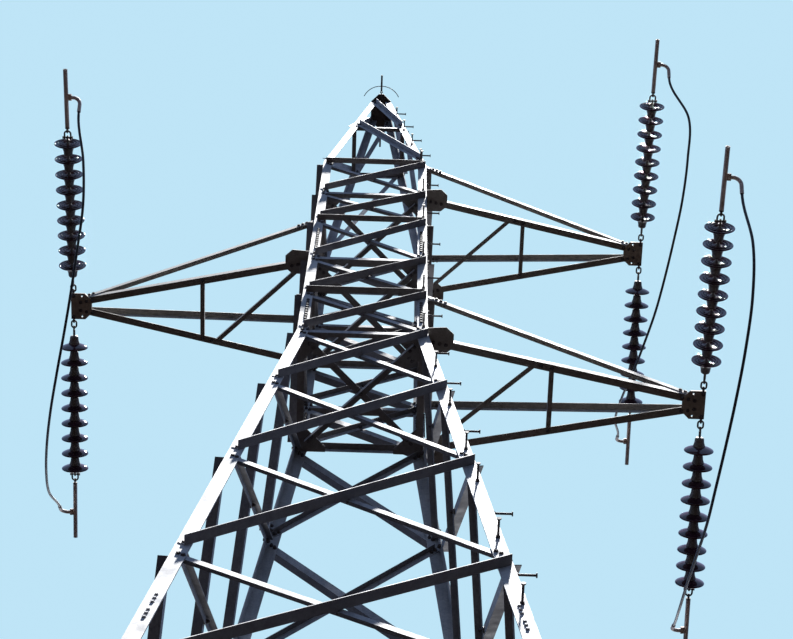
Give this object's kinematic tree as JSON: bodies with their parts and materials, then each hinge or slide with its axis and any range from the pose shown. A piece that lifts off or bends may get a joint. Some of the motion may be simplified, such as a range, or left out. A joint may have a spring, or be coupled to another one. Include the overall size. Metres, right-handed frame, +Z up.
{
  "type": "lattice transmission pylon",
  "caption": "Square lattice strain tower of bolted steel angles with three staggered arms, tension strings of discs, jumper loops and an earth-wire peak.",
  "frame": {"origin": "on the ground, at the centre of the four foot plates", "axes": "+Z up, +Y along the line away from the picture's camera, +X to the right, towards the side with two arms"},
  "size_m": [6.05, 4.611, 28.3495],
  "materials": {
    "galvanised_leg": "weathered zinc, matt, with faint spangle",
    "galvanised_brace": "weathered zinc, matt, bluish grey",
    "galvanised_arm": "weathered zinc, matt",
    "weathered_plate": "dark weathered zinc",
    "step_steel": "hot-dip zinc",
    "glazed_disc": "gloss brown glaze, grey cemented caps",
    "dull_fitting": "dull forged steel and pressed aluminium",
    "jumper_cable": "darkened stranded aluminium"
  },
  "bodies": {
    "root": {"leg_front_left": "galvanised_leg", "leg_front_right": "galvanised_leg", "leg_back_left": "galvanised_leg", "leg_back_right": "galvanised_leg", "cage_leg_front_left": "galvanised_leg", "cage_leg_front_right": "galvanised_leg", "cage_leg_back_left": "galvanised_leg", "cage_leg_back_right": "galvanised_leg", "body_bracing_front": "galvanised_brace", "body_bracing_right": "galvanised_brace", "body_bracing_back": "galvanised_brace", "body_bracing_left": "galvanised_brace", "base_bracing_front": "galvanised_brace", "base_bracing_right": "galvanised_brace", "base_bracing_back": "galvanised_brace", "base_bracing_left": "galvanised_brace", "cage_bracing_front": "galvanised_brace", "cage_bracing_right": "galvanised_brace", "cage_bracing_back": "galvanised_brace", "cage_bracing_left": "galvanised_brace", "plan_bracing_base": "galvanised_brace", "plan_bracing_cage": "galvanised_brace", "peak_frame": "galvanised_brace", "peak_head": "weathered_plate", "peak_fittings": "dull_fitting", "step_bolts": "step_steel", "arm_frame_left": "galvanised_arm", "arm_frame_top_right": "galvanised_arm", "arm_frame_low_right": "galvanised_arm", "arm_ties_left": "galvanised_arm", "arm_ties_top_right": "galvanised_arm", "arm_ties_low_right": "galvanised_arm", "tip_plate_left": "weathered_plate", "tip_plate_top_right": "weathered_plate", "tip_plate_low_right": "weathered_plate", "insulators_left": "glazed_disc", "insulators_top_right": "glazed_disc", "insulators_low_right": "glazed_disc", "fittings_left": "dull_fitting", "fittings_top_right": "dull_fitting", "fittings_low_right": "dull_fitting", "jumper_left": "jumper_cable", "jumper_top_right": "jumper_cable", "jumper_low_right": "jumper_cable"}
  },
  "joints": []
}
